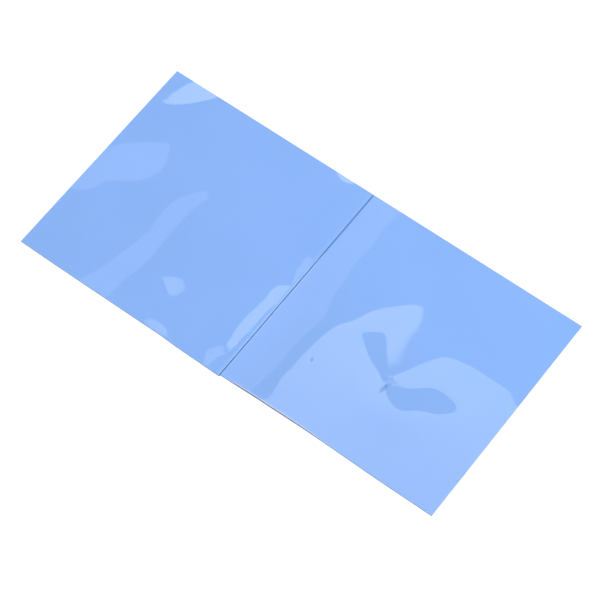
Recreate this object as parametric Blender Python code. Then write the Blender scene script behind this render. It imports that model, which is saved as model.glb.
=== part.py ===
"""Thermal pad sheet: one soft silicone pad, scored across at mid-length, under two clear cover films.

The sheet lies flat on Z = 0. +X runs along its length and +Y across its width, from the near edge
to the far edge. The origin is the middle of its underside. All values are in metres.
"""
import math

import bmesh
import bpy

# Driving dimensions of the stock
SHEET_LENGTH = 0.400
SHEET_WIDTH = 0.201  # at the widest place, where the blade strayed out; 0.200 is what was aimed at
PAD_THICKNESS = 0.0010
FILM_THICKNESS = 0.0001

# The cut across the sheet: it goes through the film and scores the pad
SCORE_PLACE = 0.0  # from the middle of the sheet's length
SCORE_FLOOR = 0.0001
SCORE_FLARE = 0.0003  # how far each wall of the groove leans out
SCORE_WEB = 0.0004  # what is left of the pad under the groove
FILM_SET_BACK = 0.0001  # from the groove's lip to the film's cut edge

# The near edge was cut by hand, each half by itself. Each pair is a share of the way from the score to
# the sheet's end, and how far the edge lies inside the sheet's width there
LEFT_NEAR_EDGE = ((0.0, 0.0), (0.2, 0.00035), (0.3, 0.00105), (0.8, 0.00105), (1.0, 0.00135))
RIGHT_NEAR_EDGE = ((0.0, 0.00125), (0.2, 0.00210), (0.4, 0.00260), (0.8, 0.00175), (1.0, 0.00180))
EDGE_CELL = 0.008

# The films lie over the pad in low waves: the height of the air under their flat stretches, and for each
# wave its centre along X and Y, half width across the crest, half length along it and height
LEFT_FILM_GAP = 0.0006
LEFT_FILM_WAVES = {
    "end_dip": (-SHEET_LENGTH / 2, 0.008, 0.060, 0.055, -0.00030),
    "corner_dip": (-SHEET_LENGTH / 2 + 0.010, SHEET_WIDTH / 2, 0.035, 0.035, -0.00018),
    "valley": (SCORE_PLACE - 0.143, -0.060, 0.032, 0.110, -0.00028),
    "ridge": (SCORE_PLACE - 0.094, -0.030, 0.036, 0.120, 0.00050),
}
RIGHT_FILM_GAP = 0.0004
RIGHT_FILM_WAVES = {
    "crease_valley": (SCORE_PLACE + 0.110, 0.024, 0.045, 0.060, -0.00010),
    "crease_ridge": (SCORE_PLACE + 0.120, -0.047, 0.050, 0.048, 0.00026),
}
FILM_CELL = 0.008

SILICONE_BLUE = (0.25, 0.45, 0.92, 1.0)
FILM_TINT = (0.90, 0.95, 1.00, 1.0)


def clear_scene():
    """Start from an empty scene."""
    for thing in list(bpy.data.objects):
        bpy.data.objects.remove(thing, do_unlink=True)


def finish(name, colour, roughness, alpha=1.0):
    """A Principled material with one colour."""
    material = bpy.data.materials.new(name)
    material.use_nodes = True
    shader = material.node_tree.nodes["Principled BSDF"]
    shader.inputs["Base Color"].default_value = colour
    shader.inputs["Roughness"].default_value = roughness
    shader.inputs["Metallic"].default_value = 0.0
    shader.inputs["Alpha"].default_value = alpha
    return material


def even_stations(start, end, cell):
    """Places from start to end, evenly spaced and about one cell apart."""
    count = max(2, round((end - start) / cell))
    return [start + (end - start) * step / count for step in range(count + 1)]


def set_back(edge, share):
    """How far a hand-cut edge lies inside the width at a share of its length, eased between points."""
    for (start, low), (end, high) in zip(edge, edge[1:]):
        if share <= end:
            along = (share - start) / (end - start)
            return low + (high - low) * along * along * (3 - 2 * along)
    return edge[-1][1]


def near_edge(x):
    """Y of the near edge at x."""
    if x <= SCORE_PLACE:
        inside = set_back(LEFT_NEAR_EDGE, (SCORE_PLACE - x) / (SHEET_LENGTH / 2 + SCORE_PLACE))
    else:
        inside = set_back(RIGHT_NEAR_EDGE, (x - SCORE_PLACE) / (SHEET_LENGTH / 2 - SCORE_PLACE))
    return -SHEET_WIDTH / 2 + inside


def bell(t):
    """A smooth hump, 1 at t = 0 and 0 from t = 1 on."""
    if abs(t) >= 1:
        return 0.0
    return math.cos(t * math.pi / 2) ** 2


def wave_height(waves, x, y):
    """Height of the film's waves over its flat stretches at (x, y)."""
    total = 0.0
    for centre_x, centre_y, half_width, half_length, height in waves.values():
        total += height * bell((x - centre_x) / half_width) * bell((y - centre_y) / half_length)
    return total


def thin_sheet(name, stations, cells_wide, underside, top, material):
    """A closed thin sheet with cross rows at the stations, between its near and far edges."""
    bm = bmesh.new()
    bmesh.ops.create_grid(bm, x_segments=len(stations) - 1, y_segments=cells_wide, size=1)
    for vert in bm.verts:
        x = stations[round((vert.co.x + 1) / 2 * (len(stations) - 1))]
        near = near_edge(x)
        y = near + (SHEET_WIDTH / 2 - near) * (vert.co.y + 1) / 2
        vert.co = (x, y, underside(x, y))
    grown = bmesh.ops.extrude_face_region(bm, geom=bm.faces[:])["geom"]
    for vert in (item for item in grown if isinstance(item, bmesh.types.BMVert)):
        vert.co.z = top(vert.co.x, vert.co.y)
    bmesh.ops.recalc_face_normals(bm, faces=bm.faces[:])
    mesh = bpy.data.meshes.new(name)
    bm.to_mesh(mesh)
    bm.free()
    mesh.materials.append(material)
    sheet = bpy.data.objects.new(name, mesh)
    bpy.context.scene.collection.objects.link(sheet)
    return sheet


def silicone_pad():
    """The pad: one solid, with the score across its top and the step in its near edge there."""
    half_floor = SCORE_FLOOR / 2
    half_mouth = half_floor + SCORE_FLARE
    left_part = even_stations(-SHEET_LENGTH / 2, SCORE_PLACE - half_mouth, EDGE_CELL)
    right_part = even_stations(SCORE_PLACE + half_mouth, SHEET_LENGTH / 2, EDGE_CELL)
    stations = left_part + [SCORE_PLACE - half_floor, SCORE_PLACE + half_floor] + right_part

    def top(x, y):
        in_floor = abs(x - SCORE_PLACE) < half_floor + SCORE_FLARE / 2
        return SCORE_WEB if in_floor else PAD_THICKNESS

    return thin_sheet("silicone_pad", stations, 1, lambda x, y: 0.0, top,
                      finish("blue silicone", SILICONE_BLUE, 0.45))


def cover_film(name, start, end, gap, waves, material):
    """One clear film, flush with the pad's edges and waving over it."""
    def underside(x, y):
        return PAD_THICKNESS + gap + wave_height(waves, x, y)

    def top(x, y):
        return underside(x, y) + FILM_THICKNESS

    cells_wide = len(even_stations(0, SHEET_WIDTH, FILM_CELL)) - 1
    film = thin_sheet(name, even_stations(start, end, FILM_CELL), cells_wide, underside, top, material)
    film.data.shade_smooth()
    film.data.set_sharp_from_angle(angle=math.radians(30))
    return film


def build():
    clear_scene()
    silicone_pad()
    clear_film = finish("clear film", FILM_TINT, 0.06, alpha=0.2)
    cut = SCORE_FLOOR / 2 + SCORE_FLARE + FILM_SET_BACK
    cover_film("cover_film_left", -SHEET_LENGTH / 2, SCORE_PLACE - cut, LEFT_FILM_GAP,
               LEFT_FILM_WAVES, clear_film)
    cover_film("cover_film_right", SCORE_PLACE + cut, SHEET_LENGTH / 2, RIGHT_FILM_GAP,
               RIGHT_FILM_WAVES, clear_film)


build()
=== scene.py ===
# %% [markdown]
# # A thermal pad sheet under clear cover film
#
# Thermal pad is raw stock for cooling electronics: a soft silicone sheet filled with ceramic powder, blue
# here, that is cut to size and pressed between a hot chip and its heatsink. The sheet is 400 mm long, 200
# mm wide and 1 mm thick. A clear glossy film keeps its tacky face clean until it is used, and one knife
# cut at mid-length goes through the film and scores the pad, so that either half can be peeled by itself.
#
# The picture shows two things only: a plain blue sheet, and light caught in the film's waves. So most of
# this lesson is about the film: how to shape waves so gentle that only their reflections show, and how to
# light them.

# %% Load the frame
import math

import bmesh
import bpy
import numpy as np
from mathutils import Matrix, Vector, noise


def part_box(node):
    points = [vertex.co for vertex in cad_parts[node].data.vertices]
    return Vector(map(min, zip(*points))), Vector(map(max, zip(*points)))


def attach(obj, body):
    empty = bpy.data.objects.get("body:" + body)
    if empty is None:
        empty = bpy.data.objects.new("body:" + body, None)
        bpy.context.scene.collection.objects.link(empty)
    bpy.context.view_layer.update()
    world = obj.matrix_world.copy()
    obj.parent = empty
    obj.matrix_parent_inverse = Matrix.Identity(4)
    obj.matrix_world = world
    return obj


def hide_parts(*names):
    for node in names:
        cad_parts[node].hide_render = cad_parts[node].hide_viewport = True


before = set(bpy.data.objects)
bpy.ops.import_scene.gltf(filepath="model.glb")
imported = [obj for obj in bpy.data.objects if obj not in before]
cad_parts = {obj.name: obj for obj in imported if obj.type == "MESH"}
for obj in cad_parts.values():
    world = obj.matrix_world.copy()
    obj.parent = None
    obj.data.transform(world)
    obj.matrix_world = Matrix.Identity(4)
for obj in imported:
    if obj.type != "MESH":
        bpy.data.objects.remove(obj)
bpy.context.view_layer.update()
MM = 0.001
print("nodes:", sorted(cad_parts))

# %% [markdown]
# ## Sizes
#
# The frame is the built part, already at its real size and place. Its boxes give the sheet's ends and
# edges, so nothing here repeats a length that the part could change. Only what a box can't tell is
# written down, such as how thick the film is, and the stray line of the near edge. That edge was cut by
# hand, each half by itself, and the blade started from a different place on each side of the score.

# %% Read the sheet's sizes from the frame
pad_low, pad_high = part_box("silicone_pad")
left_low, left_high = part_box("cover_film_left")
right_low, right_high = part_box("cover_film_right")
PAD_TOP = pad_high.z
FAR_EDGE = pad_high.y
NEAR_EDGE = pad_low.y
SCORE_PLACE = (left_high.x + right_low.x) / 2
FILM_THICKNESS = 0.1 * MM
FILM_AIR = 0.1 * MM  # what air stays under the film where it clings
FILM_REST = PAD_TOP + FILM_AIR
FILM_GAP = right_low.x - left_high.x
# share of the way from the score to the sheet's end, and how many millimetres inside the width the edge is
LEFT_NEAR_EDGE = ((0.0, 0.0), (0.2, 0.35), (0.3, 1.05), (0.8, 1.05), (1.0, 1.35))
RIGHT_NEAR_EDGE = ((0.0, 1.25), (0.2, 2.10), (0.4, 2.60), (0.8, 1.75), (1.0, 1.80))
print("film gap at the score, mm:", round(FILM_GAP / MM, 3))


def near_edge(x):
    """Y of the near edge at x: it goes by easy curves from one written point to the next."""
    points, end = (LEFT_NEAR_EDGE, pad_low.x) if x <= SCORE_PLACE else (RIGHT_NEAR_EDGE, pad_high.x)
    share = min((x - SCORE_PLACE) / (end - SCORE_PLACE), 1)
    for (start, low), (stop, high) in zip(points, points[1:]):
        if share <= stop:
            along = (share - start) / (stop - start)
            return NEAR_EDGE + (low + (high - low) * along * along * (3 - 2 * along)) * MM


# %% [markdown]
# ## Camera
#
# The sheet lies flat and is seen from above, turned so that its length runs down to the right. A long
# lens from two metres away keeps its edges nearly parallel. The camera is placed by the point that it
# looks at, its direction and its distance, and not by typing a location: each of those can be changed by
# itself.

# %% Place the camera
LOOK_AT = Vector((10.1, -10.5, 0.7)) * MM
AZIMUTH = math.radians(39.46)
ELEVATION = math.radians(61.28)
ROLL = math.radians(-2.72)
DISTANCE = 2.0928
LENS = 160.9
SENSOR_WIDTH = 36.0

camera_data = bpy.data.cameras.new("camera")
camera_data.lens = LENS
camera_data.sensor_width = SENSOR_WIDTH
camera = bpy.data.objects.new("camera", camera_data)
bpy.context.scene.collection.objects.link(camera)
turn = (Matrix.Rotation(AZIMUTH, 4, "Z") @ Matrix.Rotation(math.pi / 2 - ELEVATION, 4, "X")
        @ Matrix.Rotation(ROLL, 4, "Z"))
camera.matrix_world = Matrix.Translation(LOOK_AT) @ turn @ Matrix.Translation((0, 0, DISTANCE))
bpy.context.scene.camera = camera
eye = camera.matrix_world.translation.copy()
print("camera at", [round(value, 3) for value in eye])

# %% [markdown]
# ## Floor and room light
#
# The sheet was photographed on pure white with hardly any shadow, which takes light from all sides. A
# white world gives that, and a matt white floor takes it up. A wide lamp past the far edge adds a little
# more light there, so that the near side of the sheet is a shade darker, as in the photograph. The
# Standard view transform keeps white at white: the default one would grey the floor and dull the blue.

# %% Floor
FLOOR_SIZE = 6.0
FLOOR_COLOUR = (0.95, 0.95, 0.95, 1)

floor_mesh = bmesh.new()
bmesh.ops.create_grid(floor_mesh, x_segments=1, y_segments=1, size=FLOOR_SIZE / 2)
floor_data = bpy.data.meshes.new("floor")
floor_mesh.to_mesh(floor_data)
floor_mesh.free()
floor = bpy.data.objects.new("floor", floor_data)
bpy.context.scene.collection.objects.link(floor)
floor_finish = bpy.data.materials.new("matt white")
floor_finish.use_nodes = True
floor_shader = floor_finish.node_tree.nodes["Principled BSDF"]
floor_shader.inputs["Base Color"].default_value = FLOOR_COLOUR
floor_shader.inputs["Roughness"].default_value = 0.9
floor_shader.inputs["Specular IOR Level"].default_value = 0.0
floor_data.materials.append(floor_finish)

# %% Room light and the wide lamp
ROOM_LIGHT = 0.95
LAMP_PLACE = Vector((0.8, 0.6, 1.5))
LAMP_SIZE = 0.9
LAMP_POWER = 15.4

world = bpy.data.worlds.new("white room")
world.use_nodes = True
world.node_tree.nodes["Background"].inputs["Color"].default_value = (1, 1, 1, 1)
world.node_tree.nodes["Background"].inputs["Strength"].default_value = ROOM_LIGHT
bpy.context.scene.world = world
bpy.context.scene.view_settings.view_transform = "Standard"

lamp_data = bpy.data.lights.new("wide lamp", "AREA")
lamp_data.size = LAMP_SIZE
lamp_data.energy = LAMP_POWER
lamp = bpy.data.objects.new("wide lamp", lamp_data)
lamp.location = LAMP_PLACE
lamp.rotation_euler = (-LAMP_PLACE).to_track_quat("-Z", "Y").to_euler()
lamp.visible_camera = False
lamp.visible_glossy = False
bpy.context.scene.collection.objects.link(lamp)
print("lamp is", round(LAMP_PLACE.length, 2), "m from the sheet")

# %% [markdown]
# ## Shader maths as plain expressions
#
# A finish is worked out with the nodes that Blender's shader editor shows as boxes and wires. Writing
# each box by hand hides the sum behind it, so a small class wraps a wire: adding or multiplying two wires
# adds the Math node that does it. Everything that isn't arithmetic comes from one method, node.

# %% A wire that does sums


class Wire:
    """A shader socket that arithmetic works on: each operation adds its Math node."""

    def __init__(self, tree, socket):
        self.tree = tree
        self.socket = socket

    def node(self, kind, settings=None, inputs=None, output=0):
        """Add a node: its settings first, then the values or wires of its sockets."""
        made = self.tree.nodes.new(kind)
        for name, value in (settings or {}).items():
            setattr(made, name, value)
        for name, value in (inputs or {}).items():
            if isinstance(value, Wire):
                self.tree.links.new(value.socket, made.inputs[name])
            else:
                made.inputs[name].default_value = value
        return Wire(self.tree, made.outputs[output])

    def maths(self, operation, *values):
        """One Math node."""
        return self.node("ShaderNodeMath", {"operation": operation}, dict(enumerate(values)))

    def __add__(self, other):
        return self.maths("ADD", self, other)

    def __sub__(self, other):
        return self.maths("SUBTRACT", self, other)

    def __mul__(self, other):
        return self.maths("MULTIPLY", self, other)

    def __rsub__(self, other):
        return self.maths("SUBTRACT", other, self)

    __radd__ = __add__
    __rmul__ = __mul__

    def part(self, axis):
        """One of the three numbers of this vector."""
        return self.node("ShaderNodeSeparateXYZ", inputs={0: self}, output=axis)

    def mix(self, share, first, second):
        """A colour between two, by the share of the second."""
        return self.node("ShaderNodeMix", {"data_type": "RGBA"}, {0: share, 6: first, 7: second}, output=2)

    def ramp(self, low, high, to_low=0.0, to_high=1.0):
        """Rises smoothly from to_low to to_high as this wire goes from low to high."""
        return self.node("ShaderNodeMapRange", {"interpolation_type": "SMOOTHSTEP"},
                         {0: self, 1: low, 2: high, 3: to_low, 4: to_high})


# %% Start and end a finish


def new_finish(name):
    """An empty material, and a wire that carries its Object coordinates."""
    material = bpy.data.materials.new(name)
    material.use_nodes = True
    tree = material.node_tree
    tree.nodes.clear()
    start = tree.nodes.new("ShaderNodeTexCoord")
    return material, Wire(tree, start.outputs["Object"])


def end_finish(wire, shader):
    """Join the finished shader to the material's output."""
    output = wire.tree.nodes.new("ShaderNodeOutputMaterial")
    wire.tree.links.new(shader.socket, output.inputs["Surface"])
    print("a finish of", len(wire.tree.nodes), "nodes")


# %% [markdown]
# ## Softboxes, placed by what the film mirrors
#
# A flat mirror on the floor sees the room as a camera under the floor would. So a ray from the mirrored
# camera through any point of the sheet goes on to the spot above that the flat film reflects there. That
# gives a simple way to place a softbox: say which part of the sheet it would light up if the film were
# flat, and follow those rays to its height.
#
# Eight softboxes are placed that way. Flat film mirrors five of them: the bright one over the near part
# of the right half, a weak strip just right of the score, and three small ones left of it. The other
# three hang past the sheet's left, far and near edges, so the film catches them only where a wave leans
# that way.

# %% Where each softbox shows
SOFTBOX_HEIGHT = 8.0  # metres
SOFT_RIM = 2.5  # millimetres of flat film
below = Vector((eye.x, eye.y, -eye.z))
# name: low and high corner, in millimetres of flat film, then what light it adds to the room's at its near
# side and at its far side, and what share of that is left at its right side
SOFTBOXES = {
    "right": ((40.5, -170), (330, 20), 0.75, 1.50, 0.50),
    "strip": ((3, -260), (31, 260), 0.38, 0.50, 1.0),
    "blade": ((-20, -90), (-7, -3), 1.45, 1.45, 1.0),
    "tab": ((-11, -1), (0, 26), 0.80, 0.80, 1.0),
    "foot": ((-25, -114), (-7, -94), 0.85, 0.85, 1.0),
    "left": ((-330, -260), (-212, 260), 0.45, 0.60, 1.0),
    "far": ((-205, 112), (-12, 260), 1.80, 1.80, 1.0),
    "near": ((-130, -230), (-30, -112), 1.05, 1.05, 1.0),
}


# %% One softbox


def panel(name, low, high, rim, near_light, far_light, right_share):
    """A glowing panel facing down, between two corners in metres, that fades out at its rim."""
    grid = bmesh.new()
    bmesh.ops.create_grid(grid, x_segments=1, y_segments=1, size=0.5)
    bmesh.ops.scale(grid, vec=(high.x - low.x, high.y - low.y, 1), verts=grid.verts)
    centre = ((low.x + high.x) / 2, (low.y + high.y) / 2, SOFTBOX_HEIGHT)
    bmesh.ops.translate(grid, vec=centre, verts=grid.verts)
    bmesh.ops.reverse_faces(grid, faces=grid.faces)
    data = bpy.data.meshes.new("softbox " + name)
    grid.to_mesh(data)
    grid.free()
    softbox = bpy.data.objects.new("softbox " + name, data)
    bpy.context.scene.collection.objects.link(softbox)
    softbox.visible_camera = False
    material, place = new_finish("softbox " + name)
    x, y = place.part("X"), place.part("Y")
    glow = x.ramp(low.x, low.x + rim) * x.ramp(high.x - rim, high.x, 1.0, 0.0)
    glow = glow * y.ramp(low.y, low.y + rim) * y.ramp(high.y - rim, high.y, 1.0, 0.0)
    light = y.ramp(low.y, high.y, near_light, far_light) * x.ramp(low.x, high.x, 1.0, right_share)
    end_finish(place, place.node("ShaderNodeEmission", inputs={"Strength": glow * light + ROOM_LIGHT}))
    data.materials.append(material)
    print("softbox", name, "is", round(high.x - low.x, 2), "by", round(high.y - low.y, 2), "m")


# %% Hang the softboxes
rays = (SOFTBOX_HEIGHT - below.z) / (FILM_REST - below.z)
for name, (low_mm, high_mm, *lights) in SOFTBOXES.items():
    low, high = (Vector((below.x + (x * MM - below.x) * rays, below.y + (y * MM - below.y) * rays))
                 for x, y in (low_mm, high_mm))
    panel(name, low, high, SOFT_RIM * MM * rays, *lights)

# %% [markdown]
# Three more panels hang well away from those, where only a camera on another side of the sheet can find
# them in the film. They give it some gloss when the sheet is seen from there.

# %% Panels for the other sides
# name: the middle and the size, in metres
OTHER_PANELS = {
    "east": ((4.4, 4.6), (2.2, 4.2)),
    "south": ((4.2, -4.0), (4.4, 2.0)),
    "west": ((-5.2, -3.4), (2.0, 4.6)),
}
OTHER_RIM = 0.25
OTHER_LIGHT = 1.1
for name, (middle, size) in OTHER_PANELS.items():
    reach = Vector(size) / 2
    panel(name, Vector(middle) - reach, Vector(middle) + reach, OTHER_RIM, OTHER_LIGHT, OTHER_LIGHT, 1.0)

# %% [markdown]
# ## How a film's waves are shaped
#
# The film's waves are less than a millimetre high, far too low to sculpt by eye. What the eye does see is
# where the film leans enough to catch a softbox. So the waves are found from that: outlines on the sheet
# say which softbox each stretch of film catches, and everywhere else it catches none. An outline is a
# smooth closed curve through a few points, in millimetres.

# %% Outlines


def smooth_outline(points, steps=6):
    """A closed smooth curve through the points."""
    here = np.array(points, float)
    before, after, beyond = (np.roll(here, shift, 0) for shift in (1, -1, -2))
    curve = []
    for t in np.arange(steps) / steps:
        curve.append(0.5 * (2 * here + (after - before) * t
                            + (2 * before - 5 * here + 4 * after - beyond) * t ** 2
                            + (3 * here - before - 3 * after + beyond) * t ** 3))
    return np.stack(curve, 1).reshape(-1, 2)


def inside(x, y, points):
    """True at the places that lie inside the outline."""
    within = np.zeros(x.shape, bool)
    curve = smooth_outline(points)
    for (ax, ay), (bx, by) in zip(curve, np.roll(curve, -1, 0)):
        if ay != by:
            within ^= ((ay > y) != (by > y)) & (x < ax + (y - ay) * (bx - ax) / (by - ay))
    return within


# %% [markdown]
# Each outline belongs to a softbox, or to none where a dark petal lies inside a bright stretch. Later
# outlines lie over earlier ones. A film leans on past its cut edge as far as the sums are concerned, so
# outlines run over the edges.

# %% What each half catches
LEFT_CATCHES = [
    ("far", [(-194, 69), (-190, 82), (-183, 100), (-170, 110), (-157, 101), (-168, 85), (-178, 75),
             (-186, 69)]),
    ("far", [(-36, 103), (-35, 98), (-27, 95.5), (-19, 98), (-17, 103)]),
    ("left", [(-212, 2), (-200, 8), (-189, 22), (-163, 41), (-156, 36), (-149, 18), (-152, 8),
              (-158, -2), (-178, -16), (-186, -32), (-200, -41), (-212, -44)]),
    ("left", [(-117, 18), (-109, 25), (-103, 19), (-107, 0), (-107, -30), (-106, -58), (-110, -77),
              (-115, -108), (-144, -108), (-136, -88), (-129, -58), (-125, -35), (-127, -15),
              (-126, 2)]),
    ("near", [(-89, -60), (-82, -53), (-73, -51), (-66, -58), (-71, -70), (-80, -68)]),
    ("near", [(-79, -98), (-71, -92.5), (-62, -92.5), (-53, -96), (-54, -108), (-78, -108)]),
    ("tab", [(-9.5, 22), (-4, 24), (3, 10), (3, -3), (-4, -3), (-7.5, 8)]),
    ("blade", [(-13, -16), (-11, -10), (-6, -7), (4, -5), (4, -24), (-2, -27), (-4, -34), (-4, -50),
               (-5, -65), (-5, -78), (-9, -83), (-12.5, -72), (-15, -57), (-14.5, -45), (-13, -31)]),
    ("foot", [(-21, -89), (-16.5, -80), (-9.5, -78), (-8.5, -84), (-10.5, -91), (-11, -99), (-19, -99)]),
]
RIGHT_CATCHES = [
    ("strip", [(-9, -112), (-9, 112), (26, 112), (25, 80), (27, 62), (26, 41), (29, 20), (30, 4),
               (35, -13), (33, -31), (31, -49), (32, -66), (30, -85), (23, -112)]),
    ("right", [(40, -120), (42, -95), (40, -76), (41, -58), (42, -37), (46, -16), (54, -1), (61, 14.5),
               (72, 27), (84, 38), (93, 40), (99, 30), (102, 19), (102.5, 8), (105, -4), (105.5, -13),
               (104.5, -21), (104, -26.5), (107, -24), (109.5, -22), (113, -13), (121, 3), (129, 14),
               (138, 18), (149, 20), (161, 21), (176, 21), (188, 20), (199, 13), (215, 4), (215, -120)]),
    ("none", [(69, -8.5), (70, -4), (77, 1), (82, 2), (88, -6), (94, -14), (100, -21.5), (104, -26),
              (107.5, -25), (110, -27), (109, -30), (105, -31), (98, -27), (86, -22), (75, -14)]),
    ("none", [(109, -28.5), (112, -27.5), (116, -28.5), (125, -25), (134, -16), (142, -12), (152, -12),
              (160, -14), (162.6, -16.5), (162, -22), (152, -31), (142, -34), (134, -42), (127, -45),
              (117, -42), (109, -35)]),
]
print("outlines:", len(LEFT_CATCHES), "on the left half and", len(RIGHT_CATCHES), "on the right")

# %% [markdown]
# The mirror sum runs the other way for a leaning film: a lean moves what the film mirrors, and
# mirrored_place gives the place on the sheet where a flat film would mirror the same spot.

# %% Mirror sums


def mirrored_place(x, y, lean_x, lean_y):
    """Where flat film would mirror what the leaning film at (x, y) mirrors, in millimetres."""
    # the camera's ray to each point is turned back by the film and runs on up to the softboxes
    ray = np.stack([x * MM - eye.x, y * MM - eye.y, np.full(x.shape, FILM_REST - eye.z)])
    normal = np.stack([-lean_x, -lean_y, np.ones(x.shape)])
    normal /= np.linalg.norm(normal, axis=0)
    ray -= 2 * (ray * normal).sum(0) * normal
    # a straight line from the spot it meets there to the mirrored camera crosses the flat film
    reach = (SOFTBOX_HEIGHT - FILM_REST) / ray[2]
    shrink = (FILM_REST - below.z) / (SOFTBOX_HEIGHT - below.z)
    return ((below.x + (x * MM + ray[0] * reach - below.x) * shrink) / MM,
            (below.y + (y * MM + ray[1] * reach - below.y) * shrink) / MM)


# %% [markdown]
# Finding a height from its slopes is a classic sum: it comes apart into cosine waves, and each wave has
# its own answer. CLING pulls the film down to the pad, and STIFFNESS rounds off its creases.

# %% Height from leans
CLING = 2.0e-5
STIFFNESS = 0.5


def cosine_waves(count):
    """The cosine waves of a row of points, one to a line, each of unit length."""
    waves = np.cos(math.pi * np.outer(np.arange(count), (np.arange(count) + 0.5) / count))
    waves *= math.sqrt(2 / count)
    waves[0] /= math.sqrt(2)
    return waves


def settle(lean_x, lean_y, step):
    """Heights at the same points whose slopes come closest to the leans. All lengths are in millimetres."""
    # how far the leans on its two sides pull each point down
    pull = np.zeros(lean_x.shape)
    across = (lean_x[1:] + lean_x[:-1]) / 2 / step
    pull[1:] += across
    pull[:-1] -= across
    along = (lean_y[:, 1:] + lean_y[:, :-1]) / 2 / step
    pull[:, 1:] += along
    pull[:, :-1] -= along
    # in waves, each height is the pull over the wave's bend
    waves_x, waves_y = (cosine_waves(count) for count in lean_x.shape)
    bend_x, bend_y = ((2 - 2 * np.cos(math.pi * np.arange(count) / count)) / step ** 2
                      for count in lean_x.shape)
    bend = bend_x[:, None] + bend_y[None, :]
    return waves_x.T @ ((waves_x @ pull @ waves_y.T) / (bend + CLING + STIFFNESS * bend ** 2)) @ waves_y


# %% [markdown]
# Now the film can be worked as a sculptor works clay, in rounds. Each round looks at what every point
# mirrors, asks for more lean where that isn't yet the right softbox, and lets the sheet settle. LEVER is
# how far the mirrored place moves for a lean of 1, in millimetres, and PUSH is how much of the missing
# lean a round asks for. A little more than all of it gets there in fewer rounds.
#
# MARGIN is how far within a softbox's rim, or past it, the film should mirror. A stretch that should
# catch no softbox moves out past the nearest side of one, and near a corner past both sides, over CORNER
# millimetres. Without that a film would kink where its nearest side changes.

# %% Out of a softbox
LEVER = 3350.0
PUSH = 1.5
ROUNDS = 120
MARGIN = 5.0
CORNER = 5.0


def move_out(low, high, at_x, at_y):
    """The mirrored places, with those in the softbox moved out past its nearest side or corner."""
    to_left, to_right = at_x - low[0] + MARGIN, high[0] - at_x + MARGIN
    to_near, to_far = at_y - low[1] + MARGIN, high[1] - at_y + MARGIN
    sideways, along = np.minimum(to_left, to_right), np.minimum(to_near, to_far)
    within = (sideways > 0) & (along > 0)
    go_sideways = within * np.clip(2 - (sideways - along) / CORNER, 0, 1)
    go_along = within * np.clip(2 - (along - sideways) / CORNER, 0, 1)
    return (at_x + sideways * go_sideways * np.where(to_right < to_left, 1, -1),
            at_y + along * go_along * np.where(to_far < to_near, 1, -1))


# %% All the rounds of one half


def work_film(catches, x, y, step):
    """Heights of a film half that catches the softboxes as asked."""
    role = np.full(x.shape, "none", dtype=object)
    for name, points in catches:
        role[inside(x, y, points)] = name
    lean_x, lean_y = np.zeros(x.shape), np.zeros(x.shape)
    for _ in range(ROUNDS):
        height = settle(lean_x, lean_y, step)
        lean_x, lean_y = np.gradient(height, step)
        at_x, at_y = mirrored_place(x, y, lean_x, lean_y)
        want_x, want_y = at_x, at_y
        for name, (low, high, *_) in SOFTBOXES.items():
            mine = role == name
            if mine.any():
                want_x = np.where(mine, np.clip(at_x, low[0] + MARGIN, high[0] - MARGIN), want_x)
                want_y = np.where(mine, np.clip(at_y, low[1] + MARGIN, high[1] - MARGIN), want_y)
            out_x, out_y = move_out(low, high, at_x, at_y)
            plain = role == "none"
            want_x = np.where(plain & (out_x != at_x), out_x, want_x)
            want_y = np.where(plain & (out_y != at_y), out_y, want_y)
        lean_x = lean_x - (want_x - at_x) / LEVER * PUSH
        lean_y = lean_y - (want_y - at_y) / LEVER * PUSH
    missed = (np.hypot(want_x - at_x, want_y - at_y) > MARGIN).mean()
    print("share of the film that doesn't mirror what it should:", round(float(missed), 3))
    return height - height.min()


# %% [markdown]
# One thing is too small for those rounds and is added by formula. The blade leaned to one side and turned
# the film's cut edges at the score, the left one down and the right one up. That draws a fine light line
# along the slit.

# %% Turned edges
TURN_WIDTH = 1.6  # millimetres
TURN_LEAN = 0.035  # at the very edge


def turned_edge(x, edge):
    """Height added near the cut edge at x = edge: rising to the left there, on both halves."""
    inward = np.clip(1 - np.abs(x - edge) / TURN_WIDTH, 0, 1)
    rising = 1 if x.mean() > edge else -1
    return rising * TURN_LEAN * TURN_WIDTH / 2 * inward ** 2


# %% [markdown]
# ## The film
#
# A thin sheet starts as a flat grid of points, is laid between the edges of the pad, gets its heights,
# and is extruded by its thickness, so that it is a closed solid and its cut edge shows. A few more
# columns lie by the cut, where the edge is turned. The film was cut a hair shorter than the pad along the
# near edge, which bares a thin line of silicone there.

# %% A finished piece


def piece_from(name, solid, sharp_angle=40):
    """A finished piece of the sheet from a bmesh."""
    data = bpy.data.meshes.new(name)
    solid.to_mesh(data)
    solid.free()
    data.shade_smooth()
    data.set_sharp_from_angle(angle=math.radians(sharp_angle))
    piece = bpy.data.objects.new(name, data)
    bpy.context.scene.collection.objects.link(piece)
    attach(piece, "root")
    return piece


# %% Film sheets
FILM_CELLS = 190  # along each side of a half
EDGE_STEPS = 4  # across the turned edge
FILM_SHORT = 0.3 * MM
film_heights = {}  # what each half's heights came to, for the crumbs


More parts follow.
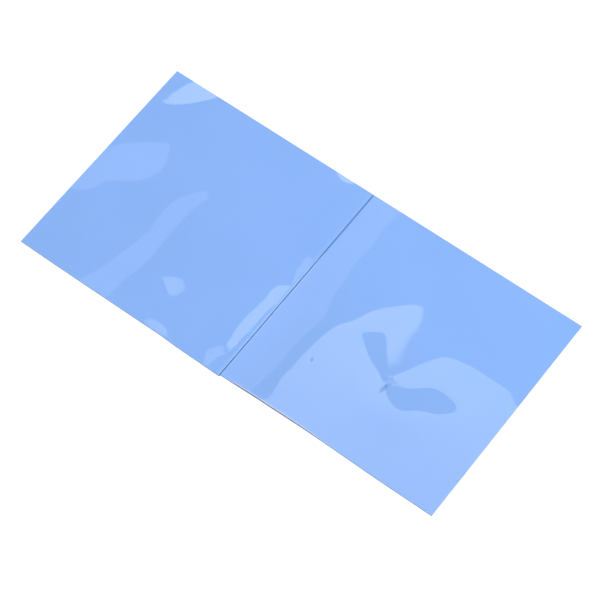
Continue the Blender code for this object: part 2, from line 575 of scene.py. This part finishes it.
def film_half(name, low_x, high_x, catches):
    """One half of the cover film, in its waves."""
    even_x = np.linspace(low_x, high_x, FILM_CELLS + 1) / MM
    even_y = np.linspace(NEAR_EDGE, FAR_EDGE, FILM_CELLS + 1) / MM
    grid_x, grid_y = np.meshgrid(even_x, even_y, indexing="ij")
    waves = work_film(catches, grid_x, grid_y, even_x[1] - even_x[0])
    edge, inward = (high_x / MM, -1) if high_x < SCORE_PLACE else (low_x / MM, 1)
    close = edge + inward * TURN_WIDTH * np.arange(1, EDGE_STEPS) / EDGE_STEPS
    places_x = np.union1d(even_x, close.round(6))
    waves = np.stack([np.interp(places_x, even_x, row) for row in waves.T], 1)
    grid_x, grid_y = np.meshgrid(places_x, even_y, indexing="ij")
    height = waves + turned_edge(grid_x, edge)
    film_heights[name] = (places_x, even_y, height)
    sheet = bmesh.new()
    columns, rows = len(places_x) - 1, len(even_y) - 1
    bmesh.ops.create_grid(sheet, x_segments=columns, y_segments=rows, size=1)
    for vert in sheet.verts:
        column = round((vert.co.x + 1) / 2 * columns)
        row = round((vert.co.y + 1) / 2 * rows)
        x = places_x[column] * MM
        near = near_edge(x) + FILM_SHORT
        vert.co = (x, near + (FAR_EDGE - near) * row / rows, FILM_REST + height[column, row] * MM)
    grown = bmesh.ops.extrude_face_region(sheet, geom=sheet.faces[:])["geom"]
    raised = [item for item in grown if isinstance(item, bmesh.types.BMVert)]
    bmesh.ops.translate(sheet, vec=(0, 0, FILM_THICKNESS), verts=raised)
    bmesh.ops.recalc_face_normals(sheet, faces=sheet.faces[:])
    print(name, "waves up to", round(float(height.max()), 2), "mm,", len(sheet.faces), "faces")
    return piece_from(name, sheet)


# %% Both halves
film_left = film_half("film_left", left_low.x, left_high.x, LEFT_CATCHES)
film_right = film_half("film_right", right_low.x, right_high.x, RIGHT_CATCHES)
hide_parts("cover_film_left")
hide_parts("cover_film_right")

# %% [markdown]
# ## Film finish
#
# Clear film shows what is behind it and mirrors a little of the room, more at a grazing angle. Glass
# would do both, but it stops lamps from lighting the pad under it. A Transparent shader mixed with a
# Glossy one looks the same at this thickness and lets all light through. The mirrored share is worked out
# from how squarely the film is seen: 4% head on, and all of it at a grazing angle. Handling has left dull
# smudges, which mirror a little less and less sharply.
#
# In the right half the film is pinched to a point, where the two dark petals meet. The tiny dents around
# it are too fine for the film's grid, so a bump in the finish makes them: each is a round hump less than
# a tenth of a millimetre high, and the side of it that leans to the bright softbox glints.

# %% Sizes of the film's finish
HEAD_ON = 0.04
GRAZING = 5.0  # the power at which the mirrored share grows as the film is seen less squarely
SMUDGE_SCALE = 22.0
SMUDGE_DULLS = 0.12
GLOSS_ROUGHNESS = 0.014
SMUDGE_ROUGHENS = 0.012
DENTS = ((105.7, -22.4), (108.8, -25.1), (107.1, -28.5), (112.7, -26.1))  # millimetres
DENT_REACH = 2.2 * MM
DENT_HEIGHT = 0.07 * MM
WHITE = (1, 1, 1, 1)

# %% Dents and smudges of the film
film_finish, place = new_finish("clear film")
smears = place.node("ShaderNodeTexNoise",
                    inputs={"Vector": place, "Scale": SMUDGE_SCALE, "Detail": 4.0, "Roughness": 0.6})
smudge = smears.ramp(0.56, 0.74)
distances = [place.node("ShaderNodeVectorMath", {"operation": "DISTANCE"},
                        {0: place, 1: (x * MM, y * MM, FILM_REST)}, output=1) for x, y in DENTS]
dents = sum(away.ramp(0.0, DENT_REACH, 1.0, 0.0) for away in distances)
bump = place.node("ShaderNodeBump", inputs={"Distance": DENT_HEIGHT, "Height": dents})

# %% What the film mirrors
clear = place.node("ShaderNodeBsdfTransparent", inputs={"Color": WHITE})
roughness = smudge * SMUDGE_ROUGHENS + GLOSS_ROUGHNESS
mirror = place.node("ShaderNodeBsdfGlossy", inputs={"Color": WHITE, "Normal": bump, "Roughness": roughness})
slant = place.node("ShaderNodeLayerWeight", inputs={"Blend": 0.5}, output=1)
share = (slant.maths("POWER", slant, GRAZING) * (1 - HEAD_ON) + HEAD_ON) * (1 - smudge * SMUDGE_DULLS)
end_finish(place, place.node("ShaderNodeMixShader", inputs={0: share, 1: clear, 2: mirror}))
for film in (film_left, film_right):
    film.data.materials.append(film_finish)

# %% [markdown]
# ## The pad
#
# The pad is calendered to its thickness, so both faces are smooth and very slightly wavy, and it is cut
# to size with a blade, so its four sides are rougher than its faces and their corners are a little soft.
# It is built as it is cut: a flat grid in the outline of the sheet, with the four lines of the score cut
# across it, is raised row by row. Every row's outline wanders by a few hundredths of a millimetre, and
# where the score runs, the rows stop at the web that the blade left. Along the near edge of the right
# half the blade also dragged the top corner over, so the top row draws in there and leaves a narrow
# sloping lip.

# %% The plan of the pad
PAD_CELLS_LONG = 200
PAD_CELLS_WIDE = 100
FILM_SET_BACK = 0.1 * MM  # from the groove's lip to the film's cut edge
GROOVE_MOUTH = FILM_GAP / 2 - FILM_SET_BACK
GROOVE_FLOOR = 0.05 * MM
GROOVE_WEB = 0.4 * MM
ROWS = (0.06, 0.35, 0.65, 0.94, 1.0)  # shares of the thickness
FACE_WAVE = 0.012 * MM
FACE_WAVE_SCALE = 60


def pad_plan():
    """The outline of the sheet as a flat grid, with the score's lines cut across it."""
    plan = bmesh.new()
    bmesh.ops.create_grid(plan, x_segments=PAD_CELLS_LONG, y_segments=PAD_CELLS_WIDE, size=1)
    bmesh.ops.scale(plan, vec=(pad_high.x, FAR_EDGE, 1), verts=plan.verts)
    for line in (-GROOVE_MOUTH, -GROOVE_FLOOR, GROOVE_FLOOR, GROOVE_MOUTH):
        bmesh.ops.bisect_plane(plan, geom=plan.verts[:] + plan.edges[:] + plan.faces[:], dist=1e-7,
                               plane_co=(SCORE_PLACE + line, 0, 0), plane_no=(1, 0, 0))
    for vert in plan.verts:
        near = near_edge(vert.co.x)
        vert.co.y = FAR_EDGE - (FAR_EDGE - vert.co.y) * (FAR_EDGE - near) / (FAR_EDGE - NEAR_EDGE)
    return plan


# %% Rows of the pad
pad_solid = pad_plan()
layer = pad_solid.faces[:]
for share_up in (0.0,) + ROWS:
    if share_up > 0:
        row_below = layer
        grown = bmesh.ops.extrude_face_region(pad_solid, geom=row_below)["geom"]
        layer = [item for item in grown if isinstance(item, bmesh.types.BMFace)]
        if share_up > ROWS[0]:
            bmesh.ops.delete(pad_solid, geom=row_below, context="FACES")
    points = {vert for face in layer for vert in face.verts}
    for vert in sorted(points, key=lambda point: (round(point.co.x, 7), round(point.co.y, 7))):
        in_groove = abs(vert.co.x - SCORE_PLACE) < GROOVE_FLOOR + MM / 100
        top = GROOVE_WEB if in_groove else PAD_TOP
        vert.co.z = share_up * top
        if share_up == 1.0 and not in_groove:
            vert.co.z += FACE_WAVE * (noise.noise(vert.co * FACE_WAVE_SCALE) - 1)

# %% [markdown]
# The rows share their plan until now. Moving each row's outline on its own softens the corners at the top
# and bottom and gives the cut sides their faint blade marks. Then each face gets its finish: 0 for the
# moulded faces, 1 for the cut sides with the lip, and 2 for the groove.

# %% How the outline moves
SOFT_CORNER = 0.05 * MM
NEAR_LIP = 1.3 * MM
LIP_START, LIP_END = 6 * MM, 110 * MM  # along X
LIP_GROWS, LIP_FADES = 10 * MM, 40 * MM
ON_EDGE = MM / 10  # a point this near to an edge lies on it


def lip_width(x):
    """How far the blade dragged the top corner over at x, along the near edge."""
    return NEAR_LIP * max(0.0, min(1.0, (x - LIP_START) / LIP_GROWS, (LIP_END - x) / LIP_FADES))


def pull_in(vert, amount, lip=0.0):
    """Move a point of the outline into the sheet by the amount, and one of the near edge by the lip too."""
    near = near_edge(vert.co.x)
    if abs(vert.co.x) > pad_high.x - ON_EDGE:
        vert.co.x -= math.copysign(amount, vert.co.x)
    if vert.co.y > FAR_EDGE - ON_EDGE:
        vert.co.y -= amount
    if vert.co.y < near + ON_EDGE:
        vert.co.y += amount + lip


# %% Soft corners and blade marks
BLADE_WANDER = 0.04 * MM
MARKS_ALONG = 400  # noise scales, per metre
MARKS_UP = 900

outline_points = [vert for vert in pad_solid.verts
                  if any(abs(face.normal.z) < 0.5 for face in vert.link_faces)]
for vert in outline_points:
    marks = Vector((vert.co.x * MARKS_ALONG, vert.co.y * MARKS_ALONG, vert.co.z * MARKS_UP))
    wander = BLADE_WANDER * (0.5 + 0.5 * noise.noise(marks))
    at_top = vert.co.z > PAD_TOP - MM / 30
    at_corner = vert.co.z < MM / 100 or at_top
    pull_in(vert, wander + (SOFT_CORNER if at_corner else 0), lip_width(vert.co.x) if at_top else 0)
bmesh.ops.recalc_face_normals(pad_solid, faces=pad_solid.faces[:])
pad_solid.normal_update()
print("points on the pad's outline:", len(outline_points))

# %% Which face gets which finish
CUT_BELOW = 0.95  # a face with a point lower than this share of the thickness is a cut one

for face in pad_solid.faces:
    heights = [vert.co.z for vert in face.verts]
    if abs(face.calc_center_median().x - SCORE_PLACE) < GROOVE_MOUTH and face.normal.z > -0.5:
        face.material_index = 2
    elif min(heights) < CUT_BELOW * PAD_TOP and max(heights) > 0:
        face.material_index = 1
cut_faces = sum(face.material_index > 0 for face in pad_solid.faces)
print("pad:", len(pad_solid.faces), "faces,", cut_faces, "of them cut")
pad = piece_from("pad", pad_solid, 30)
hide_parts("silicone_pad")

# %% [markdown]
# ## Silicone finishes
#
# Filled silicone is matt and slightly milky, with a fine grain from the ceramic powder. Its moulded faces
# are even, and the near part of the right half is painted a shade duller, as painted shade.
#
# Where the blade went round the sheet, its sides carry marks that run down the thickness, and they are
# painted greyer and darker than the faces, as painted shade. Along the near side of the right half a darker
# painted shade line runs on the cut, and the top rim of the cut sides, the lip with it, is a painted
# highlight. The scored groove is painted a deeper blue than the faces and darker towards its floor, as
# painted shade.
#
# Each finish is a mix of two close colours, and the share of the second comes from a noise or from the
# place.

# %% Blue silicone
CLEAN_BLUE = (0.145, 0.328, 0.725, 1)
CLOUDED_BLUE = (0.153, 0.338, 0.740, 1)
SHADED_BLUE = (0.146, 0.319, 0.690, 1)
GRAIN_HEIGHT = 0.05 * MM
SHADE_FADES = 30 * MM  # from the score into the right half, and to both sides of the middle line

face_finish, place = new_finish("blue silicone")
grain = place.node("ShaderNodeTexNoise", inputs={"Vector": place, "Scale": 900.0, "Detail": 3.0})
cloud = place.node("ShaderNodeTexNoise", inputs={"Vector": place, "Scale": 14.0, "Detail": 2.0})
clean = place.mix(cloud.ramp(0.3, 0.7), CLEAN_BLUE, CLOUDED_BLUE)
# painted shade: the near part of the right half is darkened, from the score on and towards the near edge
painted_shade = (place.part("X").ramp(0.0, SHADE_FADES)
           * place.part("Y").ramp(-SHADE_FADES, SHADE_FADES, 1.0, 0.0))
colour = place.mix(painted_shade, clean, SHADED_BLUE)
bump = place.node("ShaderNodeBump", inputs={"Strength": 0.2, "Distance": GRAIN_HEIGHT, "Height": grain})
silicone = place.node("ShaderNodeBsdfPrincipled",
                      inputs={"Base Color": colour, "Roughness": 0.55, "Normal": bump})
end_finish(place, silicone)

# %% Cut silicone
# the cut sides' colours are painted shade: darker and greyer than the faces, with the blade marks mixed in
SIDE_SHADE_DARK = (0.17, 0.22, 0.36, 1)
SIDE_SHADE_PALE = (0.24, 0.30, 0.46, 1)
# painted shade: a darker line along the near side of the right half, between LIP_START and LIP_END
SHADE_LINE_GREY = (0.14, 0.145, 0.22, 1)
# painted highlight: a pale line along the top rim of all the cut sides, the near lip with it
RIM_HIGHLIGHT_BLUE = (0.38, 0.48, 0.86, 1)
HIGHLIGHT_LOW, HIGHLIGHT_HIGH = 0.955 * MM, 0.965 * MM  # the heights between which the lip's colour takes over
SHADE_LINE_NEAR, SHADE_LINE_ENDS = -95 * MM, -90 * MM  # along Y, so that the other sides stay clean
MARKS_SCALE = (3000, 3000, 400)

cut_finish, place = new_finish("cut silicone")
stretched = place.node("ShaderNodeMapping", inputs={"Vector": place, "Scale": MARKS_SCALE})
marks = place.node("ShaderNodeTexNoise", inputs={"Vector": stretched, "Scale": 1.0, "Detail": 3.0})
shaded_marks = place.mix(marks.ramp(0.3, 0.7), SIDE_SHADE_DARK, SIDE_SHADE_PALE)
along, up = place.part("X"), place.part("Z")
shade_line = along.ramp(LIP_START, LIP_START + LIP_GROWS) * along.ramp(LIP_END - LIP_FADES, LIP_END, 1.0, 0.0)
shade_line = shade_line * place.part("Y").ramp(SHADE_LINE_NEAR, SHADE_LINE_ENDS, 1.0, 0.0)
side_with_shade_line = place.mix(shade_line, shaded_marks, SHADE_LINE_GREY)
colour = place.mix(up.ramp(HIGHLIGHT_LOW, HIGHLIGHT_HIGH), side_with_shade_line, RIM_HIGHLIGHT_BLUE)
bump = place.node("ShaderNodeBump", inputs={"Strength": 0.6, "Distance": GRAIN_HEIGHT, "Height": marks})
end_finish(place, place.node("ShaderNodeBsdfPrincipled",
                             inputs={"Base Color": colour, "Roughness": 0.8, "Normal": bump}))

# %% Scored silicone
# painted shade: the groove is a deeper blue than the faces and darkens from its lip down to the web
GROOVE_SHADED_BLUE = (0.030, 0.085, 0.27, 1)
GROOVE_TOP_BLUE = (0.064, 0.155, 0.41, 1)

score_finish, place = new_finish("scored silicone")
colour = place.mix(place.part("Z").ramp(GROOVE_WEB, PAD_TOP), GROOVE_SHADED_BLUE, GROOVE_TOP_BLUE)
end_finish(place, place.node("ShaderNodeBsdfPrincipled", inputs={"Base Color": colour, "Roughness": 0.8}))
for finish in (face_finish, cut_finish, score_finish):
    pad.data.materials.append(finish)

# %% [markdown]
# ## Crumbs under the film
#
# A few crumbs of cut silicone and a smear of it are trapped between pad and film. Each is a small ball,
# made a little lumpy and flattened into the gap that the film leaves there, and they are joined into one
# piece. They stay thin: a thick crumb would throw a shadow that the real ones don't.

# %% Crumbs
# place along X and Y, length and width in millimetres, and the turn of its length away from +X in degrees
CRUMBS = {
    "dark crumb": (49.3, -46.8, 3.2, 2.0, 100),
    "far crumb": (136.0, 81.0, 0.9, 0.7, 0),
    "smear": (108.2, -34.6, 8.6, 3.4, 86),
    "pinched crumb": (103.4, -21.6, 1.2, 0.7, 50),
    "second pinched crumb": (104.8, -26.4, 1.4, 0.8, -60),
    "third pinched crumb": (110.3, -28.9, 1.0, 0.7, 60),
    "fourth pinched crumb": (109.1, -23.6, 0.9, 0.6, 20),
    "middle crumb": (145.8, -2.3, 1.6, 0.9, 35),
    "near crumb": (173.0, -88.0, 1.0, 0.7, 60),
    "left crumb": (-163.0, -13.0, 3.6, 0.3, -35),
    "second left crumb": (-165.5, -10.5, 2.4, 0.3, -35),
}
CRUMB_HEIGHT = 0.15  # millimetres, at most
CRUMB_FILLS = 0.5  # share of the gap's height
CRUMB_LUMPS = 0.3  # share of its radius
LUMP_SCALE = 3
CRUMB_DARK = (0.050, 0.155, 0.46, 1)
CRUMB_PALE = (0.072, 0.215, 0.60, 1)


# %% The gap that each one fills


def gap_under_film(x, y):
    """Height of the gap between pad and film at a place in millimetres."""
    places_x, places_y, height = film_heights["film_left" if x < 0 else "film_right"]
    column, row = np.searchsorted(places_x, x), np.searchsorted(places_y, y)
    return (FILM_REST - PAD_TOP) / MM + float(height[column, row])


# %% Shape the crumbs
crumbs_solid = bmesh.new()
for x, y, length, width, turned in CRUMBS.values():
    made = bmesh.ops.create_icosphere(crumbs_solid, subdivisions=3, radius=0.5)["verts"]
    for vert in made:
        vert.co *= 1 + CRUMB_LUMPS * noise.noise(vert.co * LUMP_SCALE + Vector((x, y, 0)))
    thickness = min(CRUMB_HEIGHT, CRUMB_FILLS * gap_under_film(x, y))
    bmesh.ops.scale(crumbs_solid, vec=(length * MM, width * MM, thickness * MM), verts=made)
    bmesh.ops.rotate(crumbs_solid, matrix=Matrix.Rotation(math.radians(turned), 3, "Z"), verts=made)
    bmesh.ops.translate(crumbs_solid, vec=(x * MM, y * MM, PAD_TOP + thickness * MM / 2), verts=made)
    print("crumb at", (x, y), "is", round(thickness, 2), "mm thick")
crumbs = piece_from("crumbs", crumbs_solid)

# %% Crumbled silicone
crumb_finish, place = new_finish("crumbled silicone")
crumble = place.node("ShaderNodeTexNoise", inputs={"Vector": place, "Scale": 2500.0, "Detail": 2.0})
colour = place.mix(crumble.ramp(0.3, 0.7), CRUMB_DARK, CRUMB_PALE)
end_finish(place, place.node("ShaderNodeBsdfPrincipled", inputs={"Base Color": colour, "Roughness": 0.9}))
crumbs.data.materials.append(crumb_finish)
